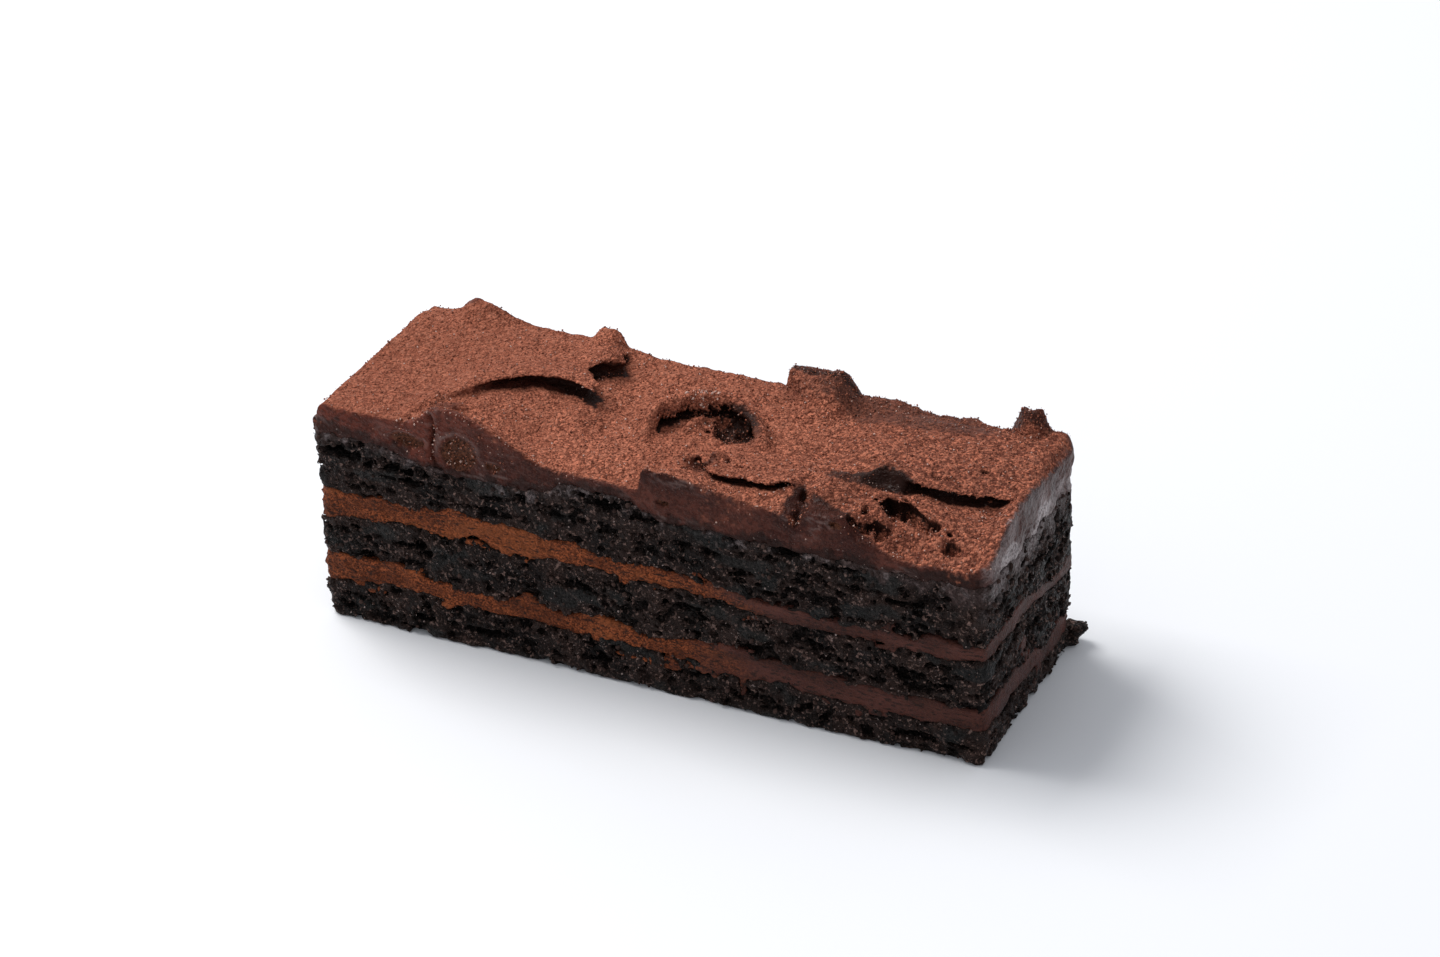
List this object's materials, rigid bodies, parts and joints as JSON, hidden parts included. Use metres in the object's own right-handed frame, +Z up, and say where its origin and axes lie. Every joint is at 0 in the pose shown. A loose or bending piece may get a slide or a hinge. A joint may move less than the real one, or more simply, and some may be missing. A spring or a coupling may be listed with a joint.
{
  "type": "slice of chocolate cake",
  "caption": "Bar-shaped slice of layered chocolate cake: dark sponges, chocolate cream bands between them and a torn, cocoa-dusted frosting on top.",
  "frame": {"origin": "middle of the slice's bounding box, at the flat face it rests on", "axes": "+Z up, +X along the long cut face to the right-hand end with the smeared cut, -Y out of the front cut face"},
  "size_m": [0.1282, 0.0428, 0.0474],
  "materials": {
    "sponge": "very dark chocolate sponge, coarse open crumb, dull",
    "cream": "chocolate cream, grainy where torn and satin where the knife smeared it",
    "frosting": "thick chocolate frosting, satin on the cut and covered with dull cocoa powder on top"
  },
  "bodies": {
    "root": {"sponge_bottom": "sponge", "cream_lower": "cream", "sponge_middle": "sponge", "cream_upper": "cream", "sponge_top": "sponge", "frosting_top": "frosting"}
  },
  "joints": []
}
